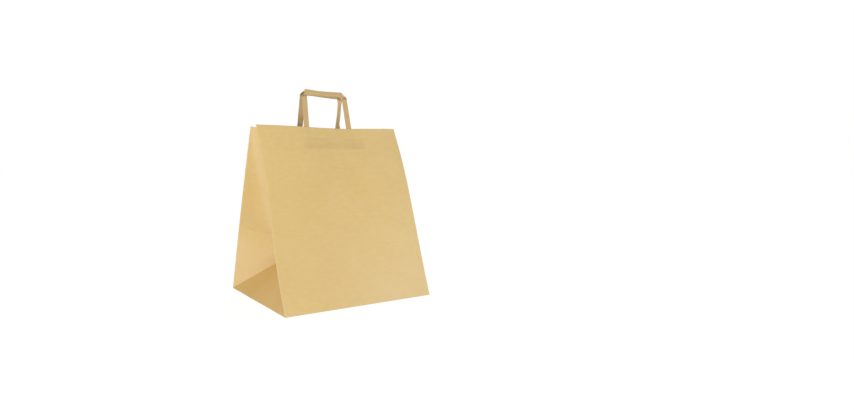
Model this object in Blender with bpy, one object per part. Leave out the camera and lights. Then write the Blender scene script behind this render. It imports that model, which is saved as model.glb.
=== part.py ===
# A block-bottom paper carrier bag with flat paper tape handles, standing open on its base.
# Metres, +Z up. The origin is the middle of the base on the floor, and -Y is the front.

import math

import bmesh
import bpy
import numpy as np

# The folded sheet
BASE_DEPTH = 0.320          # front to back at the base, which is also the full width of a gusset
FOLD_GAP = 0.020            # between the two gusset folds when the bag is pressed flat
SHEET_HEIGHT = 0.400        # from the base crease up the paper to the rim
PAPER = 0.0004              # thickness of the sheet
FOLD_RADIUS = 0.0005        # half the width of the turned edge at a gusset's middle fold
PANEL_WIDTH = BASE_DEPTH + FOLD_GAP

# The mouth, as distances from the bag's middle plane
FRONT_RIM_LEFT = 0.022
FRONT_RIM_RIGHT = 0.009
BACK_RIM_LEFT = 0.011
BACK_RIM_RIGHT = 0.012
FRONT_RIM_BOW = 0.008       # how far the front rim curves inward between its corners
FRONT_BOW_SKEW = 1.3        # above 1 the deepest point of that curve lies right of the middle
BACK_RIM_BOW = 0.005
GUSSET_CLOSING_ANGLE = math.radians(1.0)    # between a gusset half's upper edge and the middle plane

# Creases, seams and the base
CREASE_DIP = 0.0015         # how far the crease above the base sinks into the bag
BACK_BULGE = 0.006          # how far the middle of the back panel swells outward
BACK_EDGE_BULGE = 0.0035    # and its two side edges
FRONT_WAVE = 0.0063         # the front panel's left edge: inward low down, outward higher up
FRONT_WAVE_SKEW = 0.868     # below 1 it turns from one to the other below half height
FRONT_BULGE = 0.0085        # how far the front panel's right edge swells outward
FRONT_BULGE_SKEW = 1.731    # above 1 that swelling is highest above half height
SEAM_WIDTH = 0.020          # glued overlap down the back panel's right edge
SEAM_MARGIN = 0.0015        # between that overlap and the corner crease
BASE_LAP = 0.030            # glued overlap of the two base flaps
LAP_EDGE = 0.0002           # run of the slope where a glued edge steps down

# The handles, of flat folded paper tape
TAPE_WIDTH = 0.0125
TAPE_THICKNESS = 0.0010
HANDLE_RISE = 0.0816        # from the rim to the top of the bar
LEG_TURN = 0.125            # share of that rise over which a leg turns away from the panel's slope
LEG_TAIL = 0.046            # length of each leg below the rim, glued inside the panel
HANDLE_TOUCH_LEFT = 0.001   # how far behind the middle plane the bars meet, at the left leg
HANDLE_TOUCH_RIGHT = 0.008
FRONT_BAR_SPAN = 0.099      # between the middles of the two legs, at the bar
BACK_BAR_SPAN = 0.0926
FRONT_LEG_SPREAD = 0.008    # how much further apart the legs stand at the rim
BACK_LEG_SPREAD = -0.001
FRONT_RIM_CENTRE = 0.0      # sideways place of each handle's middle, at the rim and at the bar
FRONT_BAR_CENTRE = -0.003
BACK_RIM_CENTRE = -0.0152
BACK_BAR_CENTRE = -0.0073
FRONT_BAR_SLOPE = 0.015     # rise over run towards the right: the back bar hangs lower there
BACK_BAR_SLOPE = -0.095

# The patches glued over the handles' legs
PATCH_HEIGHT = 0.026
PATCH_DROP = 0.026          # from the rim down to the patch
PATCH_OVERHANG_LEFT = 0.009     # how far a patch reaches past the outer edge of each leg
PATCH_OVERHANG_RIGHT = 0.0195
LEG_CHANNEL = 0.0015        # room beside a leg before the patch steps down to the panel

GAP = 0.0003                # clearance between pieces that lie against each other
PROBE = 0.002               # how far below the rim a panel's facing is taken for the handle above it

# Mesh resolution
PANEL_COLUMNS = 24
ROWS_BELOW_CREASE = 3
ROWS_ABOVE_CREASE = 6
GUSSET_STEPS = 16
PATCH_COLUMN = 0.010        # widest step between two points across a patch
BAR_STEPS = 4
SEARCH_ROUNDS = 50          # halvings when a gusset's edge is fitted
SAME_POINT = 7              # decimals at which two points count as one
DAMPING = 1e-4              # steadies the inward offset where all faces around a point are level

FRONT, BACK = -1, 1
LEFT, RIGHT = -1, 1
KRAFT = (0.716, 0.515, 0.213, 1.0)
KRAFT_TAPE = (0.584, 0.381, 0.184, 1.0)
PAPER_ROUGHNESS = 0.82
TAPE_ROUGHNESS = 0.78


def unit(vector):
    return vector / np.linalg.norm(vector)


def across(x):
    return x / PANEL_WIDTH + 0.5


def rim_y(side, x):
    share = min(max(across(x), 0.0), 1.0)
    if side == FRONT:
        chord = -FRONT_RIM_LEFT + (FRONT_RIM_LEFT - FRONT_RIM_RIGHT) * share
        return chord + FRONT_RIM_BOW * math.sin(math.pi * share ** FRONT_BOW_SKEW) ** 2
    chord = BACK_RIM_LEFT + (BACK_RIM_RIGHT - BACK_RIM_LEFT) * share
    return chord - BACK_RIM_BOW * math.sin(math.pi * share) ** 2


def base_z(side):
    # the front flap is glued on top of the back one, so it lies one thickness higher
    return PAPER if side == FRONT else 0.0


def panel_swell(side, x, height):
    share = min(max(across(x), 0.0), 1.0)
    up = min(max(height / SHEET_HEIGHT, 0.0), 1.0)
    if side == FRONT:
        left = -FRONT_WAVE * math.sin(2 * math.pi * up ** FRONT_WAVE_SKEW)
        right = FRONT_BULGE * math.sin(math.pi * up ** FRONT_BULGE_SKEW)
        return left + (right - left) * share
    middle = math.sin(math.pi * share) ** 2
    swell = (BACK_EDGE_BULGE + (BACK_BULGE - BACK_EDGE_BULGE) * middle) * math.sin(math.pi * up)
    from_crease = abs(height - BASE_DEPTH / 2) / (BASE_DEPTH / 2)
    return swell - CREASE_DIP * middle * max(0.0, 1.0 - from_crease)


def panel_point(side, x, height):
    """A point on the outer face of the front or back panel, from its height up the paper."""
    foot = np.array([x, side * BASE_DEPTH / 2, base_z(side)])
    run = side * BASE_DEPTH / 2 - rim_y(side, x)
    rise = math.sqrt(SHEET_HEIGHT ** 2 - run ** 2)
    rim = np.array([x, rim_y(side, x), base_z(side) + rise])
    point = foot + (rim - foot) * height / SHEET_HEIGHT
    outward = np.array([0.0, side * rise, run * side]) / SHEET_HEIGHT
    return point + outward * panel_swell(side, x, height)


def panel_inward(side, x, height, step=0.001):
    """The direction from the panel's outer face into the bag."""
    along_x = panel_point(side, x + step, height) - panel_point(side, x - step, height)
    up = panel_point(side, x, height + step) - panel_point(side, x, height - step)
    normal = unit(np.cross(along_x, up))
    return normal if normal[1] * side < 0 else -normal


def gusset_apex(end):
    """Top of the base triangle, where the gusset's middle fold begins."""
    leans = []
    for side in (FRONT, BACK):
        run = BASE_DEPTH / 2 - side * rim_y(side, end * PANEL_WIDTH / 2)
        leans.append(math.asin(run / SHEET_HEIGHT))
    lean = sum(leans) / 2
    tilt = math.acos(math.tan(math.pi / 4 - lean / 2))
    reach = BASE_DEPTH / 2
    return np.array([end * (PANEL_WIDTH / 2 - reach * math.sin(tilt)), 0.0, reach * math.cos(tilt)])


def fold_plane_y(end):
    x = end * PANEL_WIDTH / 2
    return (rim_y(FRONT, x) + rim_y(BACK, x)) / 2


def upper_edge(side, end, bend):
    """March along a gusset half's upper edge: flat lengths are kept, the paper bends within bend."""
    corner = panel_point(side, end * PANEL_WIDTH / 2, 0.0)
    start = panel_point(side, end * PANEL_WIDTH / 2, SHEET_HEIGHT)
    apex = gusset_apex(end)
    edge = unit(start - corner)
    first = unit((apex - corner) - (apex - corner).dot(edge) * edge)
    first_heading = math.atan2(-side * first[1], -end * first[0])
    half = BASE_DEPTH / 2
    step = half / GUSSET_STEPS
    points = [start]
    for index in range(GUSSET_STEPS):
        turned = min(1.0, (index + 0.5) * step / bend)
        turned = turned * turned * (3 - 2 * turned)
        heading = first_heading + (GUSSET_CLOSING_ANGLE - first_heading) * turned
        level = np.array([-end * math.cos(heading), -side * math.sin(heading), 0.0])
        flat_reach = math.hypot(half - (index + 1) * step, SHEET_HEIGHT - half)
        low, high = -math.pi / 3, math.pi / 3
        for _ in range(SEARCH_ROUNDS):
            pitch = (low + high) / 2
            move = step * (math.cos(pitch) * level + np.array([0.0, 0.0, math.sin(pitch)]))
            if np.linalg.norm(points[-1] + move - apex) > flat_reach:
                high = pitch
            else:
                low = pitch
        points.append(points[-1] + move)
    return points


def gusset_edges(end):
    """Upper edges of the front and back half of one gusset, meeting at its middle fold."""
    fold_y = fold_plane_y(end)
    edges = {}
    for side in (FRONT, BACK):
        low, high = BASE_DEPTH / 200, BASE_DEPTH / 2
        for _ in range(SEARCH_ROUNDS):
            bend = (low + high) / 2
            reached = upper_edge(side, end, bend)[-1][1]
            if side * (reached - fold_y) > FOLD_RADIUS:
                low = bend
            else:
                high = bend
        edges[side] = upper_edge(side, end, bend)
    meeting = (edges[FRONT][-1] + edges[BACK][-1]) / 2
    for side in (FRONT, BACK):
        target = np.array([meeting[0], fold_y + side * FOLD_RADIUS, meeting[2]])
        miss = target - edges[side][-1]
        count = len(edges[side]) - 1
        edges[side] = [point + miss * index / count for index, point in enumerate(edges[side])]
    return edges


def offset_inward(points, faces, thickness):
    """Move each vertex into the bag so that every face around it gains the same thickness."""
    normals = [[] for _ in points]
    for face in faces:
        total = np.zeros(3)
        for first, second in zip(face, face[1:] + face[:1]):
            total += np.cross(points[first], points[second])
        normal = unit(total)
        for index in face:
            normals[index].append(normal)
    moved = []
    for point, around in zip(points, normals):
        rows = np.array(around)
        matrix = rows.T @ rows + DAMPING * np.eye(3)
        moved.append(point - thickness * np.linalg.solve(matrix, rows.sum(axis=0)))
    return moved


class Sheet:
    """Outer face of a folded sheet, gathered as shared points and faces seen from outside."""

    def __init__(self):
        self.points = []
        self.faces = []
        self.index = {}

    def add(self, point):
        key = tuple(round(value, SAME_POINT) for value in point)
        if key not in self.index:
            self.index[key] = len(self.points)
            self.points.append(np.array(point, dtype=float))
        return self.index[key]

    def face(self, corners, outward):
        ring = []
        for corner in corners:
            index = self.add(corner)
            if index not in ring:
                ring.append(index)
        total = np.zeros(3)
        for first, second in zip(ring, ring[1:] + ring[:1]):
            total += np.cross(self.points[first], self.points[second])
        if total.dot(outward) < 0:
            ring.reverse()
        self.faces.append(ring)


def panel_columns(side):
    columns = [PANEL_WIDTH * (index / PANEL_COLUMNS - 0.5) for index in range(PANEL_COLUMNS + 1)]
    if side == FRONT:
        return [(x, 0.0) for x in columns]
    # the glued seam is a second layer on the back panel, beside its right edge
    inner = PANEL_WIDTH / 2 - SEAM_MARGIN - SEAM_WIDTH
    outer = PANEL_WIDTH / 2 - SEAM_MARGIN
    kept = [(x, 0.0) for x in columns if x < inner - PANEL_WIDTH / PANEL_COLUMNS / 4]
    return kept + [(inner - LAP_EDGE, 0.0), (inner, PAPER), (outer, PAPER), (PANEL_WIDTH / 2, 0.0)]


def panel_levels():
    crease = BASE_DEPTH / 2
    lower = [crease * index / ROWS_BELOW_CREASE for index in range(ROWS_BELOW_CREASE)]
    step = (SHEET_HEIGHT - crease) / ROWS_ABOVE_CREASE
    return lower + [crease + step * index for index in range(ROWS_ABOVE_CREASE + 1)]


def add_panel(sheet, side):
    columns = panel_columns(side)
    levels = panel_levels()
    outward = np.array([0.0, side, 0.0])
    # the base's edge stays where the flaps are, so the seam's layer starts above it
    grid = []
    for level in levels:
        row = []
        for x, layer in columns:
            lift = layer if level > 0 else 0.0
            row.append(panel_point(side, x, level) - lift * panel_inward(side, x, level))
        grid.append(row)
    for upper, lower in zip(grid[1:], grid):
        for index in range(len(columns) - 1):
            corners = [lower[index], lower[index + 1], upper[index + 1], upper[index]]
            sheet.face(corners[:3], outward)
            sheet.face([corners[0], corners[2], corners[3]], outward)


def base_rows():
    # y, height of the underside, height of the inner face
    lap = BASE_LAP / 2
    return [
        (-BASE_DEPTH / 2, PAPER, 2 * PAPER),
        (-lap - LAP_EDGE, PAPER, 2 * PAPER),
        (-lap, 0.0, 2 * PAPER),
        (lap, 0.0, 2 * PAPER),
        (lap + LAP_EDGE, 0.0, PAPER),
        (BASE_DEPTH / 2, 0.0, PAPER),
    ]


def add_base(sheet):
    edges = [x for x, _ in panel_columns(FRONT)], [x for x, _ in panel_columns(BACK)]
    rows = base_rows()
    middle = [-PANEL_WIDTH / 2, PANEL_WIDTH / 2]
    down = np.array([0.0, 0.0, -1.0])
    lines = [edges[0]] + [middle] * (len(rows) - 2) + [edges[1]]
    for (y0, z0, _), (y1, z1, _), first, second in zip(rows, rows[1:], lines, lines[1:]):
        corners = [(x, y0, z0) for x in first] + [(x, y1, z1) for x in reversed(second)]
        sheet.face(corners, down)


def add_gusset(sheet, end):
    x = end * PANEL_WIDTH / 2
    apex = gusset_apex(end)
    edges = gusset_edges(end)
    outward = np.array([end, 0.0, 0.0])
    feet = {side: apex + np.array([0.0, side * FOLD_RADIUS, 0.0]) for side in (FRONT, BACK)}
    for side in (FRONT, BACK):
        facing = np.array([end, -side, 0.0])
        rail = [panel_point(side, x, level) for level in panel_levels()]
        if side == FRONT:
            for lower, upper in zip(rail, rail[1:]):
                sheet.face([feet[side], lower, upper], facing)
        else:
            crease = rail[ROWS_BELOW_CREASE]
            normal = unit(np.cross(rail[-1] - rail[0], feet[side] - rail[0]))
            if normal.dot(facing) > 0:
                normal = -normal
            middle = (crease + feet[side]) / 2 + normal * CREASE_DIP
            for lower, upper in zip(rail, rail[1:]):
                sheet.face([middle, lower, upper], facing)
            sheet.face([middle, rail[-1], feet[side]], facing)
            sheet.face([middle, feet[side], rail[0]], facing)
        for first, second in zip(edges[side], edges[side][1:]):
            sheet.face([feet[side], first, second], facing)
    sheet.face([feet[FRONT], feet[BACK], edges[BACK][-1], edges[FRONT][-1]], outward)
    foot_line = [(x, y, z) for y, z, _ in base_rows()]
    sheet.face(foot_line + [feet[BACK], feet[FRONT]], outward + np.array([0.0, 0.0, 1.0]))


def boundary_edges(faces):
    directed = {(a, b) for face in faces for a, b in zip(face, face[1:] + face[:1])}
    return [(a, b) for a, b in sorted(directed) if (b, a) not in directed]


def bag_body():
    sheet = Sheet()
    for side in (FRONT, BACK):
        add_panel(sheet, side)
    for end in (LEFT, RIGHT):
        add_gusset(sheet, end)
    add_base(sheet)
    inner = offset_inward(sheet.points, sheet.faces, PAPER)
    # the base's inner face follows the two glued flaps instead of the underside
    floors = {round(y, SAME_POINT): top for y, _, top in base_rows()}
    for index, point in enumerate(sheet.points):
        if point[2] < 1.5 * PAPER:
            inner[index][2] = floors[round(point[1], SAME_POINT)]
    count = len(sheet.points)
    faces = [list(face) for face in sheet.faces]
    faces += [[index + count for index in reversed(face)] for face in sheet.faces]
    faces += [[b, a, a + count, b + count] for a, b in boundary_edges(sheet.faces)]
    return make_object("bag_body", sheet.points + inner, faces, material("kraft_paper", KRAFT, PAPER_ROUGHNESS))


def material(name, colour, roughness):
    existing = bpy.data.materials.get(name)
    if existing:
        return existing
    made = bpy.data.materials.new(name)
    made.use_nodes = True
    shader = made.node_tree.nodes["Principled BSDF"]
    shader.inputs["Base Color"].default_value = colour
    shader.inputs["Roughness"].default_value = roughness
    shader.inputs["Metallic"].default_value = 0.0
    made.diffuse_color = colour
    return made


def make_object(name, points, faces, finish):
    mesh = bpy.data.meshes.new(name)
    made = bpy.data.objects.new(name, mesh)
    bpy.context.scene.collection.objects.link(made)
    solid = bmesh.new()
    corners = [solid.verts.new(point) for point in points]
    for face in faces:
        solid.faces.new([corners[index] for index in face])
    bmesh.ops.triangulate(solid, faces=solid.faces[:])
    solid.to_mesh(mesh)
    solid.free()
    mesh.materials.append(finish)
    return made


def slab(name, near, far, finish):
    """A closed solid between two grids of points, given row by row."""
    rows, columns = len(near), len(near[0])
    points = [point for row in near for point in row] + [point for row in far for point in row]
    count = rows * columns
    faces = []
    for row in range(rows - 1):
        for column in range(columns - 1):
            a = row * columns + column
            quad = [a, a + 1, a + columns + 1, a + columns]
            faces.append(quad)
            faces.append([index + count for index in reversed(quad)])
    faces += [[b, a, a + count, b + count] for a, b in boundary_edges(faces[::2])]
    made = make_object(name, points, faces, finish)
    solid = bmesh.new()
    solid.from_mesh(made.data)
    if solid.calc_volume(signed=True) < 0:
        bmesh.ops.reverse_faces(solid, faces=solid.faces[:])
    solid.to_mesh(made.data)
    solid.free()
    return made


def handle_places(side):
    # middle and span at the rim, middle and span at the bar
    if side == FRONT:
        return FRONT_RIM_CENTRE, FRONT_BAR_SPAN + FRONT_LEG_SPREAD, FRONT_BAR_CENTRE, FRONT_BAR_SPAN
    return BACK_RIM_CENTRE, BACK_BAR_SPAN + BACK_LEG_SPREAD, BACK_BAR_CENTRE, BACK_BAR_SPAN


def leg_middle(side, end, height):
    """Sideways place of a leg's middle, at a height above the rim."""
    rim_centre, rim_span, bar_centre, bar_span = handle_places(side)
    share = min(max(height / HANDLE_RISE, 0.0), 1.0)
    centre = rim_centre + (bar_centre - rim_centre) * share
    return centre + end * (rim_span + (bar_span - rim_span) * share) / 2


def touch_y(x):
    share = (x - FRONT_BAR_CENTRE) / FRONT_BAR_SPAN + 0.5
    return HANDLE_TOUCH_LEFT + (HANDLE_TOUCH_RIGHT - HANDLE_TOUCH_LEFT) * share


def handle_point(side, x, height, depth):
    """A point on a handle: height above the rim, depth measured into the bag from the panel."""
    slope = BACK_BAR_SLOPE if side == BACK else FRONT_BAR_SLOPE
    inner = PAPER + GAP
    if height <= 0:
        inward = panel_inward(side, x, SHEET_HEIGHT + min(height, -PROBE))
        return panel_point(side, x, SHEET_HEIGHT + height) + inward * (inner + depth)
    inward = panel_inward(side, x, SHEET_HEIGHT - PROBE)
    foot = panel_point(side, x, SHEET_HEIGHT) + inward * inner
    top_y = touch_y(x) + side * (GAP / 2 + TAPE_THICKNESS)
    top = np.array([x, top_y, foot[2] + HANDLE_RISE + slope * x])
    rising = unit(top - foot)
    across_bar = unit(np.array([FRONT_BAR_SPAN, HANDLE_TOUCH_RIGHT - HANDLE_TOUCH_LEFT, 0.0]))
    facing = unit(np.cross(rising, across_bar))
    if facing[1] * side > 0:
        facing = -facing
    share = height / HANDLE_RISE
    blend = min(1.0, share / LEG_TURN)
    facing = unit(inward * (1 - blend) + facing * blend)
    return foot + (top - foot) * share + facing * depth


def handle(side):
    name = "front_handle" if side == FRONT else "back_handle"
    finish = material("kraft_tape", KRAFT_TAPE, TAPE_ROUGHNESS)
    half = TAPE_WIDTH / 2
    shoulder = HANDLE_RISE - TAPE_WIDTH
    parts = []
    for end in (LEFT, RIGHT):
        near, far = [], []
        turned = shoulder * LEG_TURN
        levels = [-LEG_TAIL, -LEG_TAIL / 2, 0.0, turned, shoulder / 2, shoulder - TAPE_THICKNESS]
        for level in levels + [shoulder - LAP_EDGE]:
            near_row, far_row = [], []
            for edge in (-half, half):
                # the leg's top is cut along the 45 degree fold, high on the inner side
                height = level
                if level > levels[-1] and edge * end < 0:
                    height += TAPE_WIDTH
                x = leg_middle(side, end, height) + edge
                near_row.append(handle_point(side, x, height, 0.0))
                far_row.append(handle_point(side, x, height, TAPE_THICKNESS))
            near.append(near_row)
            far.append(far_row)
        parts.append(slab(name + "_leg", near, far, finish))
    near, far = [], []
    bite = TAPE_THICKNESS / 10
    for height in (shoulder, HANDLE_RISE):
        reach = half if height == shoulder else -half
        left = leg_middle(side, LEFT, height) - reach
        right = leg_middle(side, RIGHT, height) + reach
        places = [left + (right - left) * index / BAR_STEPS for index in range(BAR_STEPS + 1)]
        near.append([handle_point(side, x, height, bite - TAPE_THICKNESS) for x in places])
        far.append([handle_point(side, x, height, bite) for x in places])
    bar = slab(name, near, far, finish)
    for part in parts:
        join = bar.modifiers.new("join_leg", "BOOLEAN")
        join.operation = "UNION"
        join.solver = "EXACT"
        join.object = part
        part.name = part.name + "_guide"
        part.hide_render = True
        part.display_type = "WIRE"
    return bar


def patch(side):
    """The strip that covers both legs inside the panel, stepping over each of them."""
    name = "front_patch" if side == FRONT else "back_patch"
    flat = PAPER + GAP
    over_leg = PAPER + GAP + TAPE_THICKNESS + GAP
    top = SHEET_HEIGHT - PATCH_DROP
    half = TAPE_WIDTH / 2 + LEG_CHANNEL
    left = leg_middle(side, LEFT, 0.0)
    right = leg_middle(side, RIGHT, 0.0)
    ramp = TAPE_THICKNESS * 2
    profile = [(left - TAPE_WIDTH / 2 - PATCH_OVERHANG_LEFT, flat)]
    for middle in (left, right):
        profile += [
            (middle - half - ramp, flat),
            (middle - half, over_leg),
            (middle + half, over_leg),
            (middle + half + ramp, flat),
        ]
    profile.append((right + TAPE_WIDTH / 2 + PATCH_OVERHANG_RIGHT, flat))
    places = []
    for (x0, depth0), (x1, depth1) in zip(profile, profile[1:]):
        count = math.ceil((x1 - x0) / PATCH_COLUMN)
        for index in range(count):
            share = index / count
            places.append((x0 + (x1 - x0) * share, depth0 + (depth1 - depth0) * share))
    places.append(profile[-1])
    near, far = [], []
    for level in (top - PATCH_HEIGHT, top - PATCH_HEIGHT / 2, top):
        near_row, far_row = [], []
        for x, depth in places:
            place = panel_point(side, x, level)
            inward = panel_inward(side, x, level)
            near_row.append(place + inward * depth)
            far_row.append(place + inward * (depth + PAPER))
        near.append(near_row)
        far.append(far_row)
    return slab(name, near, far, material("kraft_paper", KRAFT, PAPER_ROUGHNESS))


def main():
    for existing in list(bpy.data.objects):
        bpy.data.objects.remove(existing, do_unlink=True)
    bag_body()
    for side in (FRONT, BACK):
        handle(side)
        patch(side)


main()
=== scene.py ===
import math

import bpy
import numpy as np
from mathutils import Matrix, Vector, noise


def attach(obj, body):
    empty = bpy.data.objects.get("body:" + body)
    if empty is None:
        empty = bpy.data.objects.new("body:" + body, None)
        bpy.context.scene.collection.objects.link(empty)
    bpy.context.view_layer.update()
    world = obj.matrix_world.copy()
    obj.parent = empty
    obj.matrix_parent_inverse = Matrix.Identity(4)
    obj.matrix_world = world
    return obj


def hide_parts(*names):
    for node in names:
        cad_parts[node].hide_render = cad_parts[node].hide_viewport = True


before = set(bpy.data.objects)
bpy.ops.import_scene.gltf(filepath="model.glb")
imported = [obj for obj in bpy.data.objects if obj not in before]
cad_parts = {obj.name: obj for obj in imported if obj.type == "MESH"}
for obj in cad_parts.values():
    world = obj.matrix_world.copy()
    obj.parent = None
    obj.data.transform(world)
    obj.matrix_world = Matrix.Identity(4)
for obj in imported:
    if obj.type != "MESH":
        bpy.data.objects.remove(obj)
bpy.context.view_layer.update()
scene = bpy.context.scene
scene.view_settings.view_transform = "Standard"

front, back = -1, 1
left, right = -1, 1

# the folded sheet, with the same main sizes as the CAD body
bag = {
    "width": 0.340,
    "depth": 0.320,
    "height": 0.400,
    "paper": 0.0003,
    # how far the rim's four corners stand from the middle, and how far in the rim bows between them
    "rim": {(front, left): 0.022, (front, right): 0.009, (back, left): 0.011, (back, right): 0.012},
    "frontRimBow": 0.008,
    "frontBowSkew": 1.3,        # over 1 moves the deepest place to the right
    "backRimBow": 0.005,
    "closing": math.radians(1.0),           # angle at which a gusset's halves run together by the rim
    "frontWave": 0.0063,        # up the front's left edge: in below, out above
    "frontWaveSkew": 0.868,     # under 1 moves the change further down
    "frontBulge": 0.0085,       # up its right edge: out all the way
    "frontBulgeSkew": 1.731,    # over 1 moves the bulge further up
    "backBulge": 0.006,         # up the middle of the back
    "backEdgeBulge": 0.0035,    # and up its edges
    "creaseDip": 0.0026,        # how far the crease above the base sinks in
    "creaseReach": 0.055,       # how far from it the paper is still bent
    "dipSlant": (0.6, 0.75),    # which way it sinks on a gusset: sideways and forwards
    "dipFade": 0.02,            # and how far above the base triangle that begins
    "seamWidth": 0.020,         # the glued seam up the back
    "seamMargin": 0.0015,
    "seamLines": (-0.0012, -0.0002, 0.0, 0.001),    # lines of the grid that draw the seam's step
    "seamClear": 0.002,
    "baseLap": 0.030,           # where the base's two flaps overlap
    "flap": 0.0004,             # step between the two base flaps
    "foldBevel": 0.0006,        # rounding along every fold
    "cell": 0.004,              # grid of the sheet
    # unevenness of the panels: height, size, share of that size up the sheet, and seed
    "waves": ((0.0007, 0.075, 0.55, 3.1), (0.00035, 0.040, 1.0, 8.6), (0.00012, 0.014, 1.0, 5.4)),
    "waveFade": (0.002, 0.037),             # distances from a fold where it begins and is whole
    # short creases by the front's upper left corner: from and to on the sheet, and how far they stand out
    "wrinkles": (
        ((0.004, 0.364), (0.022, 0.371), 0.0005),
        ((0.003, 0.351), (0.032, 0.357), -0.0004),
        ((0.008, 0.336), (0.036, 0.345), 0.0004),
        ((0.026, 0.372), (0.060, 0.386), 0.0004),
        ((0.010, 0.318), (0.030, 0.322), -0.0003),
    ),
    "wrinkleWidth": 0.0045,
}
half = bag["depth"] / 2
edgeX = bag["width"] / 2


def unit(vector):
    return vector / np.linalg.norm(vector)


# how far between two values another lies, from 0 to 1, with a smooth start and end
def smoothShare(value, low, high):
    share = min(max((value - low) / (high - low), 0.0), 1.0)
    return share * share * (3 - 2 * share)


def across(x):
    return min(max(x / bag["width"] + 0.5, 0.0), 1.0)


def rimY(side, x):
    share = across(x)
    chord = bag["rim"][side, left] * (1 - share) + bag["rim"][side, right] * share
    if side == front:
        return -chord + bag["frontRimBow"] * math.sin(math.pi * share ** bag["frontBowSkew"]) ** 2
    return chord - bag["backRimBow"] * math.sin(math.pi * share) ** 2


def creaseDip(share, height):
    away = abs(height - half) / bag["creaseReach"]
    return bag["creaseDip"] * math.sqrt(max(0.0, math.sin(math.pi * share))) * math.exp(-away)


def panelSwell(side, x, height):
    share = across(x)
    up = min(max(height / bag["height"], 0.0), 1.0)
    if side == front:
        nearLeft = -bag["frontWave"] * math.sin(2 * math.pi * up ** bag["frontWaveSkew"])
        nearRight = bag["frontBulge"] * math.sin(math.pi * up ** bag["frontBulgeSkew"])
        return nearLeft + (nearRight - nearLeft) * share
    middle = math.sin(math.pi * share) ** 2
    bulge = bag["backEdgeBulge"] + (bag["backBulge"] - bag["backEdgeBulge"]) * middle
    return bulge * math.sin(math.pi * up) - creaseDip(share, height)


def panelPoint(side, x, height):
    baseZ = bag["flap"] if side == front else 0.0
    run = side * half - rimY(side, x)
    rise = math.sqrt(bag["height"] ** 2 - run ** 2)
    foot = np.array([x, side * half, baseZ])
    rim = np.array([x, rimY(side, x), baseZ + rise])
    outward = np.array([0.0, side * rise, side * run]) / bag["height"]
    return foot + (rim - foot) * height / bag["height"] + outward * panelSwell(side, x, height)


def panelInward(side, x, height, step=0.001):
    alongX = panelPoint(side, x + step, height) - panelPoint(side, x - step, height)
    alongUp = panelPoint(side, x, height + step) - panelPoint(side, x, height - step)
    normal = unit(np.cross(alongX, alongUp))
    return normal if normal[1] * side < 0 else -normal


# top of the base triangle, where a gusset's middle fold begins
def gussetApex(end):
    leans = [math.asin((half - side * rimY(side, end * edgeX)) / bag["height"]) for side in (front, back)]
    tilt = math.acos(math.tan(math.pi / 4 - sum(leans) / 4))
    return np.array([end * (edgeX - half * math.sin(tilt)), 0.0, half * math.cos(tilt)])


# the upper edge of a gusset half: flat lengths are kept and the paper turns within the bend
def upperEdge(side, end, bend, steps=64, halvings=36):
    corner = panelPoint(side, end * edgeX, 0.0)
    start = panelPoint(side, end * edgeX, bag["height"])
    apex = gussetApex(end)
    rail = unit(start - corner)
    first = unit((apex - corner) - (apex - corner).dot(rail) * rail)
    firstHeading = math.atan2(-side * first[1], -end * first[0])
    step = half / steps
    points = [start]
    for index in range(steps):
        turned = smoothShare((index + 0.5) * step, 0.0, bend)
        heading = firstHeading + (bag["closing"] - firstHeading) * turned
        level = np.array([-end * math.cos(heading), -side * math.sin(heading), 0.0])
        reach = math.hypot(half - (index + 1) * step, bag["height"] - half)
        low, high = -math.pi / 3, math.pi / 3
        for _ in range(halvings):
            pitch = (low + high) / 2
            move = step * (math.cos(pitch) * level + np.array([0.0, 0.0, math.sin(pitch)]))
            if np.linalg.norm(points[-1] + move - apex) > reach:
                high = pitch
            else:
                low = pitch
        points.append(points[-1] + move)
    return points


# the bend is the one that brings both halves together at the gusset's middle fold
def gussetEdges(end, halvings=24):
    foldY = (rimY(front, end * edgeX) + rimY(back, end * edgeX)) / 2
    edges = {}
    for side in (front, back):
        low, high = half / 100, half
        for _ in range(halvings):
            bend = (low + high) / 2
            if side * (upperEdge(side, end, bend)[-1][1] - foldY) > 0:
                low = bend
            else:
                high = bend
        edges[side] = upperEdge(side, end, bend)
    meeting = (edges[front][-1] + edges[back][-1]) / 2
    meeting[1] = foldY
    for side in (front, back):
        miss = meeting - edges[side][-1]
        count = len(edges[side]) - 1
        edges[side] = np.array([point + miss * index / count for index, point in enumerate(edges[side])])
    return edges


apexes = {end: gussetApex(end) for end in (left, right)}
topEdges = {end: gussetEdges(end) for end in (left, right)}
print("gusset folds found")


def topEdgePoint(end, side, inward):
    points = topEdges[end][side]
    place = min(max(inward / half, 0.0), 1.0) * (len(points) - 1)
    index = min(int(place), len(points) - 2)
    return points[index] + (points[index + 1] - points[index]) * (place - index)


# a gusset point from its flat place: inward from the panel's edge, and up the paper
def gussetPoint(side, end, inward, up):
    apex = apexes[end]
    middle = np.array([end * edgeX, 0.0, 0.0])
    if up <= inward:
        foot = middle + np.array([0.0, side * (half - inward), 0.0])
        if side == front:
            foot[2] = bag["flap"] * (1 - inward / half)
        return foot + (apex - middle) / half * up
    fromFold, fromApex = half - inward, up - half
    above = bag["height"] - half
    if fromApex * half <= fromFold * above:
        reach = fromFold / half
        target = panelPoint(side, end * edgeX, half + fromApex / reach)
    else:
        reach = fromApex / above
        target = topEdgePoint(end, side, half - fromFold / reach)
    point = apex + (target - apex) * reach
    if side == back:
        sideways, forwards = bag["dipSlant"]
        dip = creaseDip(inward / half, up) * min(1.0, (up - inward) / bag["dipFade"])
        point = point + np.array([-end * sideways, forwards, 0.0]) * dip
    return point


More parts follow.
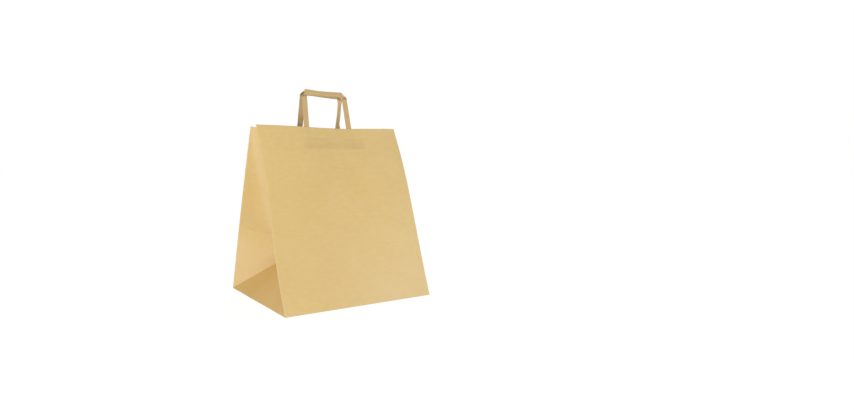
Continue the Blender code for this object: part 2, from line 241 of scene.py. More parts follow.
# even steps between two folds, with two finer lines beside each of them
def spaced(start, stop, cell, margins=(0.001, 0.003)):
    near = [start] + [start + margin for margin in margins]
    far = [stop - margin for margin in reversed(margins)] + [stop]
    count = max(1, round((far[0] - near[-1]) / cell))
    middle = [near[-1] + (far[0] - near[-1]) * index / count for index in range(1, count)]
    return near + middle + far


def softNoise(u, v, size, seed):
    return noise.noise(Vector((u / size + seed, v / size - seed, seed * 0.37)))


# how far the short creases lift the paper at a place on the sheet; they are lower at their ends
def wrinkleLift(u, v):
    lift = 0.0
    for start, stop, height in bag["wrinkles"]:
        start, stop, place = Vector(start), Vector(stop), Vector((u, v))
        share = min(max((place - start).dot(stop - start) / (stop - start).length_squared, 0.0), 1.0)
        away = (place - start.lerp(stop, share)).length / bag["wrinkleWidth"]
        lift += height * math.sin(math.pi * (0.15 + 0.7 * share)) * math.exp(-away * away)
    return lift


def panelWave(u, v):
    return sum(height * softNoise(u, v * tall, size, seed) for height, size, tall, seed in bag["waves"])


def makeMesh(name, points, faces, faceUVs):
    mesh = bpy.data.meshes.new(name)
    mesh.from_pydata([tuple(point) for point in points], [], faces)
    layer = mesh.uv_layers.new(name="sheet")
    flat = [value for uvs in faceUVs for uv in uvs for value in uv]
    layer.data.foreach_set("uv", flat)
    mesh.shade_smooth()
    made = bpy.data.objects.new(name, mesh)
    scene.collection.objects.link(made)
    return made


# the columns of a gusset, from the first side's fold across to the other's
def gussetColumns(first, end, start, lower):
    near = [("gusset", first, end, inward, start + inward) for inward in lower[1:]]
    far = [("gusset", -first, end, inward, start + (bag["depth"] - inward)) for inward in lower[-2:0:-1]]
    return near + far


# each column of the folded tube: the part of the bag it is on, its place there, and its place around
def tubeColumns(columns, lower):
    width, depth = bag["width"], bag["depth"]
    tube = [("panel", front, 0, x, x + edgeX) for x in columns]
    tube += gussetColumns(front, right, width, lower)
    tube += [("panel", back, 0, x, width + depth + edgeX - x) for x in reversed(columns)]
    return tube + gussetColumns(back, left, 2 * width + depth, lower)


# the paper's unevenness, its rounded folds and its thickness
def finishSheet(body, uvs, waves, folds):
    mesh = body.data
    normals = [vertex.normal.copy() for vertex in mesh.vertices]
    for vertex, normal in zip(mesh.vertices, normals):
        wave = waves[vertex.index]
        if wave > 0:
            u, v = uvs[vertex.index]
            vertex.co += normal * wave * panelWave(u, v)
            vertex.co += normal * wrinkleLift(u, v) * min(1.0, 3 * wave)
    wanted = {tuple(sorted(pair)) for pair in folds}
    weights = mesh.attributes.new("bevel_weight_edge", "FLOAT", "EDGE")
    for edge in mesh.edges:
        if tuple(sorted(edge.vertices)) in wanted:
            weights.data[edge.index].value = 1.0
    bevel = body.modifiers.new("folds", "BEVEL")
    bevel.limit_method = "WEIGHT"
    bevel.width = bag["foldBevel"]
    bevel.segments = 2
    thickness = body.modifiers.new("paper", "SOLIDIFY")
    thickness.thickness = bag["paper"]
    thickness.offset = -1.0
    thickness.use_even_offset = True


def makeBagBody():
    lower = spaced(0.0, half, bag["cell"])
    rows = lower + spaced(half, bag["height"], bag["cell"])[1:]
    seam = edgeX - bag["seamMargin"] - bag["seamWidth"]
    columns = [x - edgeX for x in spaced(0.0, bag["width"], bag["cell"])]
    columns = [x for x in columns if abs(x - seam) > bag["seamClear"]]
    columns = sorted(columns + [seam + offset for offset in bag["seamLines"]])
    tube = tubeColumns(columns, lower)
    points, uvs, waves = [], [], []
    for kind, side, end, place, around in tube:
        for height in rows:
            if kind == "panel":
                point = panelPoint(side, place, height)
                if side == back and seam <= place < edgeX - bag["seamClear"] and height > 0:
                    point = point - panelInward(side, place, height) * bag["paper"]
                toFold = min(edgeX - abs(place), height)
            else:
                point = gussetPoint(side, end, place, height)
                toFold = min(place, abs(height - place) * 0.7, half - place)
            points.append(point)
            uvs.append((around, height))
            waves.append(smoothShare(toFold, *bag["waveFade"]))

    rowCount, tubeCount = len(rows), len(tube)
    perimeter = 2 * bag["width"] + 2 * bag["depth"]
    levelOf = {round(level, 7): index for index, level in enumerate(lower)}
    faces, faceUVs, folds = [], [], set()

    def at(column, row):
        return (column % tubeCount) * rowCount + row

    def uvAt(column, row):
        around, height = uvs[at(column, row)]
        return (around + perimeter if column == tubeCount else around, height)

    def addFace(corners):
        faces.append([at(*corner) for corner in corners])
        faceUVs.append([uvAt(*corner) for corner in corners])

    for column in range(tubeCount):
        after = tube[(column + 1) % tubeCount]
        here = tube[column]
        onGusset = "gusset" in (here[0], after[0])
        inward = [levelOf[round(item[3], 7)] if item[0] == "gusset" else 0 for item in (here, after)]
        for row in range(rowCount - 1):
            a, b, c, d = (column, row), (column + 1, row), (column + 1, row + 1), (column, row + 1)
            if onGusset and min(inward) == row and row + 1 < len(lower):
                # the fold between gusset and base triangle runs across this cell
                if inward[0] < inward[1]:
                    addFace([a, b, c])
                    addFace([a, c, d])
                    folds.add((at(*a), at(*c)))
                else:
                    addFace([a, b, d])
                    addFace([b, c, d])
                    folds.add((at(*b), at(*d)))
            else:
                addFace([a, b, c, d])
            isEdge = here[0] == "panel" and abs(here[3]) > edgeX - 1e-6
            isMiddle = here[0] == "gusset" and inward[0] == len(lower) - 1 and row >= len(lower) - 1
            if isEdge or isMiddle:
                folds.add((at(*a), at(*d)))
        folds.add((at(column, 0), at(column + 1, 0)))

    # the base: its outline is the tube's lowest row
    deepCount = 2 * (len(lower) - 1)
    start = {"right": len(columns) - 1, "left": 2 * len(columns) + deepCount - 2}
    baseAt = {}
    depths = [-half + level for level in lower] + [half - level for level in lower[-2::-1]]
    for i, x in enumerate(columns):
        for k, y in enumerate(depths):
            if k == 0:
                baseAt[i, k] = at(i, 0)
            elif k == deepCount:
                baseAt[i, k] = at(start["right"] + deepCount + len(columns) - 1 - i, 0)
            elif i == 0:
                baseAt[i, k] = at(start["left"] + deepCount - k, 0)
            elif i == len(columns) - 1:
                baseAt[i, k] = at(start["right"] + k, 0)
            else:
                baseAt[i, k] = len(points)
                points.append(np.array([x, y, bag["flap"] if y < -bag["baseLap"] / 2 else 0.0]))
                waves.append(0.0)
    for i in range(len(columns) - 1):
        for k in range(deepCount):
            corners = [(i, k), (i, k + 1), (i + 1, k + 1), (i + 1, k)]
            faces.append([baseAt[corner] for corner in corners])
            faceUVs.append([(columns[ci] + edgeX, depths[ck] - half) for ci, ck in corners])

    body = makeMesh("kraftBag", points, faces, faceUVs)
    finishSheet(body, uvs, waves, folds)
    return body


# flat paper tape: up one leg, folded over at 45 degrees, along the bar and down the other leg
tape = {
    "width": 0.0125,
    "thick": 0.0009,
    "slot": 0.0010,             # room that the CAD tape takes
    "rise": 0.0816,             # from the rim to the top
    "tail": 0.046,              # length of each leg inside the bag
    "gap": 0.0003,              # a glued joint
    "touchLeft": 0.001,         # how far back the two bars meet, at their left and right ends
    "touchRight": 0.008,
    "rimCentre": {front: 0.0, back: -0.0152},       # the legs at the rim
    "rimSpan": {front: 0.107, back: 0.0916},
    "barCentre": {front: -0.003, back: -0.0073},    # and at the bar
    "barSpan": {front: 0.099, back: 0.0926},
    "barSlope": {front: 0.015, back: -0.095},       # how steeply the bar climbs to the right
    "twist": math.radians(20.0),            # of the back handle's right leg, away from the front
    "twistStart": 0.012,        # height over the rim at which the twist is whole
    "twistEnd": (0.024, 0.014),             # below the top of the handle, where it fades out
    "rimMargin": 0.002,         # the panel's slant at its rim is taken this far below it
    "rimTurn": 0.125,           # share of a leg in which it turns out of that slant
    "overlap": 0.0022,          # where the last ply ends, from the middle of the tape
    "overlapStep": 0.0001,      # half the width of the step there
    "ply": 0.00014,
    "station": 0.004,           # steps along the tape
    "foldStation": 0.00025,     # and through its two folds
    "foldStations": 8,          # how many of them to each side of a fold
    "besideFold": ((-0.004, -0.003), (0.003, 0.005)),       # single steps before and after them
    "foldClear": 0.006,         # the even steps stop this far before a fold
    "foldResume": (0.009, 0.008),           # and go on this far after each
    "skewHold": 0.003,          # how far from a fold the steps lie slanted as it does
    "skewFade": 0.035,          # and how far from it they lie square again
}


def touchY(x):
    share = (x - tape["barCentre"][front]) / tape["barSpan"][front] + 0.5
    return tape["touchLeft"] + (tape["touchRight"] - tape["touchLeft"]) * share


# the right leg of the back handle turns about its left edge at the rim, and about its middle further up
def twistLeg(side, sideways, height, depth):
    over = sideways - tape["barSpan"][side] / 2
    if side == front or abs(over) > tape["width"] / 2 + 1e-6:
        return sideways, depth
    fadeStart, fadeEnd = [tape["rise"] - drop for drop in tape["twistEnd"]]
    turn = smoothShare(height, 0.0, tape["twistStart"]) * (1 - smoothShare(height, fadeStart, fadeEnd))
    angle = tape["twist"] * turn
    over += tape["width"] / 2 * (1 - smoothShare(height, 0.0, tape["rise"] / 2))
    return sideways + (math.cos(angle) - 1) * over, depth - math.sin(angle) * over


# a point on a handle: height above the rim, depth into the bag from the panel's inner face
def handlePoint(side, sideways, height, depth):
    sideways, depth = twistLeg(side, sideways, height, depth)
    share = min(max(height / tape["rise"], 0.0), 1.0)
    centre = tape["rimCentre"][side] + (tape["barCentre"][side] - tape["rimCentre"][side]) * share
    bar = tape["barSpan"][side]
    span = tape["rimSpan"][side] + (bar - tape["rimSpan"][side]) * share
    if height > tape["rise"] - 2 * tape["width"]:
        x = centre + sideways * span / bar
    else:
        nearest = max(-bar / 2, min(bar / 2, sideways))
        x = centre + nearest * span / bar + (sideways - nearest)
    inner = bag["flap"] + tape["gap"]
    inward = panelInward(side, x, bag["height"] + min(height, -tape["rimMargin"]))
    if height <= 0:
        return panelPoint(side, x, bag["height"] + height) + inward * (inner + depth)
    foot = panelPoint(side, x, bag["height"]) + inward * inner
    topY = touchY(x) + side * (tape["gap"] / 2 + tape["slot"])
    top = np.array([x, topY, foot[2] + tape["rise"] + tape["barSlope"][side] * x])
    barTurn = (tape["touchRight"] - tape["touchLeft"]) / tape["barSpan"][front]
    facing = unit(np.cross(unit(top - foot), unit(np.array([1.0, barTurn, 0.0]))))
    if facing[1] * side > 0:
        facing = -facing
    share = height / tape["rise"]
    turned = min(1.0, share / tape["rimTurn"])
    facing = unit(inward * (1 - turned) + facing * turned)
    return foot + (top - foot) * share + facing * depth


# the folded tape in its own plane: sideways, height and depth from the place on the flat strip
def foldedPlace(side, along, over, lift):
    radius = tape["slot"] / 2
    wrap = math.pi * radius / 2
    span, cornerHeight = tape["barSpan"][side], tape["rise"] - tape["width"] / 2
    root = math.sqrt(0.5)
    place = np.array([-span / 2 + over, along])
    facing = 1
    for end in (left, right):
        nose = np.array([end * root, root])
        past = (place - np.array([end * span / 2, cornerHeight])).dot(nose)
        if past <= -wrap:
            break
        if past < wrap:
            angle = (past + wrap) / radius
            place = place + nose * (math.sin(angle) * (radius + lift) - past - wrap)
            return place[0], place[1], facing * math.cos(angle) * (radius + lift) - radius
        # past the fold the tape lies the other way round, one slot further in or back out
        place = place - 2 * past * nose
        facing = -facing
    return place[0], place[1], (facing - 1) * radius + facing * lift


# outline of the tape's section: flat faces, folded long edges, and the edge of the last ply
def tapeSection():
    w, t, ply = tape["width"] / 2, tape["thick"] / 2, tape["ply"]
    halfTurn = [(math.cos(angle), math.sin(angle)) for angle in np.linspace(-math.pi / 2, math.pi / 2, 7)]
    rightEdge = [(w - t + t * c, t * s) for c, s in halfTurn]
    leftEdge = [(-w + t - t * c, -t * s) for c, s in halfTurn]
    overlap, step = tape["overlap"], tape["overlapStep"]
    upper = [(w * 0.6, t), (overlap + step, t), (overlap - step, t - ply), (-w * 0.5, t - ply)]
    lowerFace = [(-w * 0.5, -t), (0.0, -t), (w * 0.5, -t)]
    leftEdge = [(x, min(y, t - ply)) for x, y in leftEdge]
    return rightEdge + upper + leftEdge + lowerFace


# places along the strip, and how far its rows are skewed there: they lie along the 45 degree folds,
# and square at the strip's two ends
def tapeStations(firstFold, secondFold, end):
    count, step = tape["foldStations"], tape["station"]
    before, after = tape["besideFold"]
    through = [offset * tape["foldStation"] for offset in range(-count, count + 1)]
    offsets = list(before) + through + list(after)
    mirrored = [-offset for offset in reversed(offsets)]
    stations, start = [], -tape["tail"]
    for fold, near, resume in zip((firstFold, secondFold), (offsets, mirrored), tape["foldResume"]):
        stations += list(np.arange(start, fold - tape["foldClear"], step)) + [fold + offset for offset in near]
        start = fold + resume
    stations += list(np.arange(start, end - step / 4, step)) + [end]
    fade, hold = tape["skewFade"], tape["skewHold"]
    turns = [(-tape["tail"], 0.0), (firstFold - fade, 0.0), (firstFold - hold, 1.0), (firstFold + hold, 1.0),
             (secondFold - hold, -1.0), (secondFold + hold, -1.0), (secondFold + fade, 0.0), (end, 0.0)]
    return stations, np.interp(stations, [place for place, _ in turns], [skew for _, skew in turns])


def makeHandle(side, name):
    firstFold = tape["rise"] - tape["width"] / 2
    secondFold = firstFold + tape["barSpan"][side]
    stations, skews = tapeStations(firstFold, secondFold, secondFold + firstFold + tape["tail"])
    section = tapeSection()
    points, uvs, faces, faceUVs = [], [], [], []
    for station, skew in zip(stations, skews):
        for over, lift in section:
            along = station + skew * over
            sideways, height, depth = foldedPlace(side, along, over, lift)
            points.append(handlePoint(side, sideways, height, depth + tape["slot"] / 2))
            uvs.append((over, along))
    count = len(section)
    for row in range(len(stations) - 1):
        for place in range(count):
            corners = [row * count + place, row * count + (place + 1) % count]
            corners += [corner + count for corner in reversed(corners)]
            faces.append(corners)
            faceUVs.append([uvs[corner] for corner in corners])
    for row, step in ((0, -1), (len(stations) - 1, 1)):
        cap = [row * count + place for place in range(count)][::step]
        faces.append(cap)
        faceUVs.append([uvs[corner] for corner in cap])
    made = makeMesh(name, points, faces, faceUVs)
    turnOutward(made)
    return made


def turnOutward(made):
    mesh = made.data
    total = sum(face.center.dot(face.normal) * face.area for face in mesh.polygons)
    if total < 0:
        mesh.flip_normals()


# the strip of paper glued over both legs inside the bag
patch = {
    "height": 0.026,
    "drop": 0.026,              # from the rim to its top
    "overhang": {left: 0.009, right: 0.0195},       # past the legs
    "channel": 0.0015,          # room beside a leg before it comes down to the panel
    "ramp": 0.002,              # and how long it takes to do so
    "rampLines": (0, 0.25, 0.5, 0.75, 1),   # lines of the grid on it
    "rampClear": 0.0005,
    "paper": 0.0003,
    "cell": 0.003,
    "rows": 10,
    "grainShift": 0.5,          # so that the two strips are cut from different stretches of paper
}


def legMiddles(side):
    return [tape["rimCentre"][side] + end * tape["rimSpan"][side] / 2 for end in (left, right)]


def patchEnds(side):
    outer = [tape["width"] / 2 + patch["overhang"][end] for end in (left, right)]
    return legMiddles(side)[0] - outer[0], legMiddles(side)[1] + outer[1]


def makePatch(side, name):
    flat = bag["flap"] + tape["gap"]
    raised = flat + tape["slot"] + tape["gap"]
    top = bag["height"] - patch["drop"]
    reach = tape["width"] / 2 + patch["channel"]
    middles = legMiddles(side)
    start, stop = patchEnds(side)
    places = list(np.linspace(start, stop, round((stop - start) / patch["cell"])))
    for middle in middles:
        places = [x for x in places if abs(abs(x - middle) - reach) > patch["ramp"] + patch["rampClear"]]
        for sign in (-1, 1):
            places += [middle + sign * (reach + patch["ramp"] * share) for share in patch["rampLines"]]
    places.sort()
    levels = np.linspace(top - patch["height"], top, patch["rows"])
    points, faces, faceUVs, uvs = [], [], [], []
    for level in levels:
        for x in places:
            near = min(abs(x - middle) for middle in middles)
            depth = flat + (raised - flat) * smoothShare(near, reach + patch["ramp"], reach)
            points.append(panelPoint(side, x, level) + panelInward(side, x, level) * depth)
            uvs.append((x + side * patch["grainShift"], level))
    count = len(places)
    for row in range(len(levels) - 1):
        for place in range(count - 1):
            corner = row * count + place
            quad = [corner, corner + 1, corner + count + 1, corner + count]
            if side == front:
                quad.reverse()
            faces.append(quad)
            faceUVs.append([uvs[index] for index in quad])
    made = makeMesh(name, points, faces, faceUVs)
    thickness = made.modifiers.new("paper", "SOLIDIFY")
    thickness.thickness = patch["paper"]
    thickness.offset = 1.0
    return made


body = makeBagBody()
print("bag body made")
frontHandle = makeHandle(front, "frontTapeHandle")
backHandle = makeHandle(back, "backTapeHandle")
print("handles folded")
frontPatch = makePatch(front, "frontGluedStrip")
backPatch = makePatch(back, "backGluedStrip")
print("glued strips made")

for piece, node, slot in (
    (body, "bag_body", "kraft_paper"),
    (frontHandle, "front_handle", "kraft_tape"),
    (backHandle, "back_handle", "kraft_tape"),
    (frontPatch, "front_patch", "kraft_paper"),
    (backPatch, "back_patch", "kraft_paper"),
):
    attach(piece, "root")
    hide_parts(node)


def newGroup(name, inputs, outputs):
    tree = bpy.data.node_groups.new(name, "ShaderNodeTree")
    for label, kind, value in inputs:
        socket = tree.interface.new_socket(label, in_out="INPUT", socket_type="NodeSocket" + kind)
        if value is not None:
            socket.default_value = value
    for label, kind in outputs:
        tree.interface.new_socket(label, in_out="OUTPUT", socket_type="NodeSocket" + kind)
    return tree, tree.nodes.new("NodeGroupInput"), tree.nodes.new("NodeGroupOutput")


def addNode(tree, kind, settings=None, **inputs):
    made = tree.nodes.new("ShaderNode" + kind)
    for name, value in (settings or {}).items():
        setattr(made, name, value)
    for name, value in inputs.items():
        socket = made.inputs[int(name[1:])] if name[1:].isdigit() else made.inputs[name.replace("_", " ")]
        if isinstance(value, bpy.types.NodeSocket):
            tree.links.new(value, socket)
        else:
            socket.default_value = value
    return made


def calc(tree, operation, first, second=0.0, third=0.0, clamp=False):
    settings = {"operation": operation, "use_clamp": clamp}
    return addNode(tree, "Math", settings, i0=first, i1=second, i2=third).outputs[0]


# how far between two edges a value lies, from 0 to 1, with a smooth start and end
def smooth(tree, value, low, high):
    settings = {"interpolation_type": "SMOOTHSTEP"}
    return addNode(tree, "MapRange", settings, Value=value, From_Min=low, From_Max=high).outputs[0]


# from 1 where the value is nothing down to 0 at its reach
def fallOff(tree, value, reach):
    return calc(tree, "SUBTRACT", 1.0, calc(tree, "DIVIDE", value, reach), clamp=True)


def product(tree, *values):
    total = values[0]
    for value in values[1:]:
        total = calc(tree, "MULTIPLY", total, value)
    return total


def mixColour(tree, share, first, second):
    return addNode(tree, "Mix", {"data_type": "RGBA"}, i0=share, i6=first, i7=second).outputs[2]


# some of another tone over a colour, where the mask lies
def tint(tree, colour, tone, mask, strength):
    return mixColour(tree, calc(tree, "MULTIPLY", mask, strength), colour, tone)


def noiseAt(tree, place, size, detail, rough=0.5):
    return addNode(tree, "TexNoise", Vector=place, Scale=size, Detail=detail, Roughness=rough).outputs[0]


# sizes are in repeats to the metre
grain = {
    "broadSize": 16.0,
    "cloudSize": 120.0,
    "speckSize": 1500.0,
    # each way that the fibres lie: its angle, and their size along and across
    "strands": ((0.35, (170.0, 1500.0, 1.0)), (-0.9, (210.0, 1700.0, 1.0)), (1.45, (150.0, 1300.0, 1.0))),
    "strandRange": (0.56, 0.72),
    "ribSize": 230.0,
    "ribBend": 3.0,
    "roughSpread": 0.25,
    "ribHeight": 0.35,
    "fibreHeight": 0.5,
    "speckHeight": 0.6,
    "wearSize": 260.0,          # breaks in the worn line along a fold
    "wearRange": (0.20, 0.60),
}


# unbleached kraft: slow clouds, short fibres lying several ways, and the faint ribs of the machine
def makePaperGroup():
    tree, given, out = newGroup(
        "kraftFibres",
        [("Place", "Vector", None), ("Pale", "Color", (0.78, 0.58, 0.30, 1.0)),
         ("Deep", "Color", (0.62, 0.41, 0.15, 1.0)), ("Clouds", "Float", 0.30), ("Mottle", "Float", 0.60),
         ("Stretch", "Vector", (1.0, 1.0, 1.0)), ("Fibres", "Float", 0.25), ("Ribs", "Float", 0.10),
         ("Roughness", "Float", 0.78)],
        [("Colour", "Color"), ("Roughness", "Float"), ("Height", "Float")],
    )
    place = given.outputs["Place"]
    broad = noiseAt(tree, place, grain["broadSize"], 3.0)
    stretched = addNode(tree, "VectorMath", {"operation": "MULTIPLY"}, i0=place, i1=given.outputs["Stretch"])
    cloud = noiseAt(tree, stretched.outputs[0], grain["cloudSize"], 5.0, 0.62)
    speck = noiseAt(tree, place, grain["speckSize"], 2.0, 0.6)
    strands = []
    for angle, size in grain["strands"]:
        turned = addNode(tree, "Mapping", Vector=place, Rotation=(0.0, 0.0, angle)).outputs[0]
        scaled = addNode(tree, "Mapping", Vector=turned, Scale=size).outputs[0]
        strands.append(smooth(tree, noiseAt(tree, scaled, 1.0, 2.0), *grain["strandRange"]))
    fibres = calc(tree, "SUBTRACT", calc(tree, "ADD", strands[0], strands[1]), strands[2])
    settings = {"wave_type": "BANDS", "bands_direction": "Y", "wave_profile": "SIN"}
    ribs = addNode(tree, "TexWave", settings, Vector=place, Scale=grain["ribSize"],
                   Distortion=grain["ribBend"], Detail=2.0, Detail_Scale=0.6).outputs[1]
    total = 0.0
    for layer, amount in ((broad, "Clouds"), (cloud, "Mottle"), (speck, "Fibres"), (ribs, "Ribs")):
        total = calc(tree, "MULTIPLY_ADD", calc(tree, "SUBTRACT", layer, 0.5), given.outputs[amount], total)
    total = calc(tree, "MULTIPLY_ADD", fibres, calc(tree, "MULTIPLY", given.outputs["Fibres"], 0.5), total)
    share = calc(tree, "ADD", total, 0.5, clamp=True)
    mixed = mixColour(tree, share, given.outputs["Pale"], given.outputs["Deep"])
    tree.links.new(mixed, out.inputs["Colour"])
    rough = calc(tree, "MULTIPLY_ADD", calc(tree, "SUBTRACT", speck, 0.5), grain["roughSpread"],
                 given.outputs["Roughness"])
    tree.links.new(rough, out.inputs["Roughness"])
    height = calc(tree, "MULTIPLY", fibres, grain["fibreHeight"])
    height = calc(tree, "MULTIPLY_ADD", ribs, grain["ribHeight"], height)
    height = calc(tree, "MULTIPLY_ADD", speck, grain["speckHeight"], height)
    tree.links.new(height, out.inputs["Height"])
    return tree


# a rectangle on the sheet with soft edges, where something is glued behind the paper
def makeStripGroup():
    tree, given, out = newGroup(
        "gluedBehind",
        [("Place", "Vector", None), ("Left", "Float", 0.0), ("Right", "Float", 0.1),
         ("Bottom", "Float", 0.0), ("Top", "Float", 0.1), ("Soft", "Float", 0.002)],
        [("Mask", "Float")],
    )
    split = addNode(tree, "SeparateXYZ", Vector=given.outputs["Place"])
    soft = given.outputs["Soft"]
    mask = None
    for axis, low, high in ((0, "Left", "Right"), (1, "Bottom", "Top")):
        for edge, sign in ((low, 1.0), (high, -1.0)):
            inside = product(tree, calc(tree, "SUBTRACT", split.outputs[axis], given.outputs[edge]), sign)
            share = calc(tree, "ADD", calc(tree, "DIVIDE", inside, soft), 0.5, clamp=True)
            mask = share if mask is None else calc(tree, "MULTIPLY", mask, share)
    tree.links.new(mask, out.inputs["Mask"])
    return tree


# paler, broken line along a fold, partly real wear and partly painted highlight, from the distance to it
def makeFoldGroup():
    tree, given, out = newGroup(
        "foldWearAndHighlight",
        [("Distance", "Float", 0.0), ("Place", "Vector", None), ("Width", "Float", 0.0012)],
        [("Mask", "Float")],
    )
    line = fallOff(tree, calc(tree, "ABSOLUTE", given.outputs["Distance"]), given.outputs["Width"])
    broken = noiseAt(tree, given.outputs["Place"], grain["wearSize"], 3.0)
    tree.links.new(product(tree, line, smooth(tree, broken, *grain["wearRange"])), out.inputs["Mask"])
    return tree


paperGroup, stripGroup, foldGroup = makePaperGroup(), makeStripGroup(), makeFoldGroup()


def useGroup(tree, group, **inputs):
    made = tree.nodes.new("ShaderNodeGroup")
    made.node_tree = group
    for name, value in inputs.items():
        if isinstance(value, bpy.types.NodeSocket):
            tree.links.new(value, made.inputs[name])
        else:
            made.inputs[name].default_value = value
    return made


def newMaterial(name):
    made = bpy.data.materials.new(name)
    made.use_nodes = True
    tree = made.node_tree
    shader = tree.nodes["Principled BSDF"]
    shader.inputs["Specular IOR Level"].default_value = kraft["specular"]
    place = addNode(tree, "UVMap", {"uv_map": "sheet"}).outputs[0]
    return made, tree, shader, place


# the paper with its fibres, and the shader that takes its finish from it
def placePaper(tree, place, pale, deep, stretch, roughness):
    return useGroup(tree, paperGroup, Place=place, Pale=pale, Deep=deep, Clouds=kraft["clouds"],
                    Mottle=kraft["mottle"], Stretch=stretch, Fibres=kraft["fibres"], Ribs=kraft["ribs"],
                    Roughness=roughness)


def finishPaper(tree, shader, paper, colour, raised=None):
    tree.links.new(colour, shader.inputs["Base Color"])
    tree.links.new(paper.outputs["Roughness"], shader.inputs["Roughness"])
    bump = addNode(tree, "Bump", Strength=kraft["bump"], Distance=kraft["bumpDepth"],
                   Height=paper.outputs["Height"])
    if raised is not None:
        bump = addNode(tree, "Bump", Strength=kraft["relief"], Distance=kraft["reliefDepth"], Height=raised,
                       Normal=bump.outputs[0])
    tree.links.new(bump.outputs[0], shader.inputs["Normal"])


# where a point of a panel lies on the unfolded sheet
def sheetPlace(side, x):
    return x + edgeX if side == front else bag["width"] + bag["depth"] + edgeX - x


kraft = {
    "pale": (0.790, 0.590, 0.270, 1.0),
    "deep": (0.642, 0.440, 0.156, 1.0),
    "shade": (0.500, 0.320, 0.120, 1.0),    # painted shade in creases, recesses and facets
    "glued": (0.480, 0.315, 0.145, 1.0),    # and over what is glued behind
    "paleWearAndLight": (0.860, 0.690, 0.430, 1.0),     # paler along folds, partly real wear and partly painted highlight; painted light towards the foot and on the gussets
    "tuckedShadeColour": (0.700, 0.410, 0.075, 1.0),   # painted shade on the base triangles, deeper and warmer in their recess
    "clouds": 0.30,
    "mottle": 0.58,
    "stretch": (0.5, 1.0, 1.0),             # the mottle lies across the sheet
    "fibres": 0.26,
    "ribs": 0.10,
    "roughness": 0.78,
    "specular": 0.28,
    "bump": 0.10,
    "bumpDepth": 0.00012,
    # glued behind the panels
    "stripShade": 0.14,
    "stripSoft": 0.004,
    "legShade": 0.08,
    "legSoft": 0.003,
    "legAbove": 0.01,           # past the rim, so that the soft end doesn't show
    "patchSize": 45.0,          # the glue took unevenly
    "patchRange": (0.25, 0.70),
    "relief": 0.5,
    "reliefDepth": 0.0004,
    # folds: paler lines, partly real wear and partly painted highlight
    "foldShade": 0.42,
    "foldWidth": 0.0030,
    "creaseWidth": 0.0012,
    "creaseWearAndHighlight": 0.6,
    "foldSoft": 0.001,          # how sharply a tone ends at the base triangle's upper folds
    # painted light on the panels and the gussets' foot, and painted shade by the panels' left edge
    "footPale": 0.40,           # how much paler a panel is at its foot, towards its right edge
    "footLeft": 0.11,           # and at its left edge
    "footReach": 0.24,          # how high that goes
    "fadeStart": 0.05,          # how far from the panel's left edge it begins to grow
    "driftSize": 7.0,           # it is uneven
    "edgePale": 0.08,           # along the whole right edge
    "edgeDeep": 0.10,           # painted shade by the left edge, below the shoulder
    "edgeEnd": 0.65,            # share of the width where both end
    "edgeStart": 0.02,          # how far from the left edge the deeper tone begins to fade
    "deepTop": (0.33, 0.23),    # between which heights it comes in
    "deepFoot": 0.09,           # and below which it goes out
    "gussetPale": 0.27,         # the gussets at their foot
    # painted shade on the base triangles
    "tuckedShade": (0.74, 0.92),            # at the foot, and at the upper folds
    "tuckedReach": 0.128,       # how far below those folds the foot's tone is reached
    "tuckedLine": 0.008,        # a dark line under those folds
    "tuckedLineShade": 0.45,
    "rearShade": 0.14,          # the rear half
    "rearSoft": 0.05,
    "cornerPale": 0.60,         # and the front corner, painted paler again
    "cornerReach": 0.08,
    # painted light and shade on the gussets' rear halves
    "creaseShade": 0.10,        # painted shade that runs down into the crease
    "creaseSpan": 0.045,
    "underPale": 0.16,          # painted light between the crease and the base triangle
    "underFade": (0.002, -0.050),           # height over the crease where that begins and is whole
    "underShade": 0.45,         # and how dark the painted shade gets by the triangle's upper fold
    "underReach": 0.035,
    "underStart": (0.02, 0.10),             # from the side fold
    "paintedLightLine": ((0.0087, 0.390), (0.0720, 0.186)),   # a painted pale line of light down the left one, inward and up
    "paintedLightWidth": 0.020,
    "paintedLightPale": 0.27,
    "leftGussetPaintFoot": (-0.01, 0.03),            # height over the crease where that painted light and shade end
    "facet": ((0.0045, 0.380), (0.0400, 0.175)),    # its outer facet ends along this line
    "facetSoft": 0.010,
    "facetShade": 0.13,
}


# where things are glued behind the paper: the strips, and the legs of the handles beneath them
def gluedAreas(side):
    top = bag["height"] - patch["drop"]
    bottom = top - patch["height"]
    start, stop = patchEnds(side)
    shade, soft = kraft["stripShade"], kraft["stripSoft"]
    areas = [(start, stop, bottom, top, shade, soft)]
    areas.append((start, stop, bottom, bottom + patch["height"] / 2, shade, 2 * soft))
    legTop = bag["height"] + kraft["legAbove"]
    for middle in legMiddles(side):
        low, high = middle - tape["width"] / 2, middle + tape["width"] / 2
        areas.append((low, high, bottom, legTop, kraft["legShade"], kraft["legSoft"]))
    return areas


def addGluedTones(tree, place, colour):
    raised = None
    patchy = smooth(tree, noiseAt(tree, place, kraft["patchSize"], 2.0), *kraft["patchRange"])
    patchy = calc(tree, "MULTIPLY_ADD", patchy, 0.5, 0.5)
    for side in (front, back):
        for low, high, bottom, upper, strength, soft in gluedAreas(side):
            ends = sorted((sheetPlace(side, low), sheetPlace(side, high)))
            mask = useGroup(tree, stripGroup, Place=place, Left=ends[0], Right=ends[1], Bottom=bottom,
                            Top=upper, Soft=soft).outputs[0]
            colour = tint(tree, colour, kraft["glued"], product(tree, mask, strength), patchy)
            raised = mask if raised is None else calc(tree, "MAXIMUM", raised, mask)
    return colour, raised


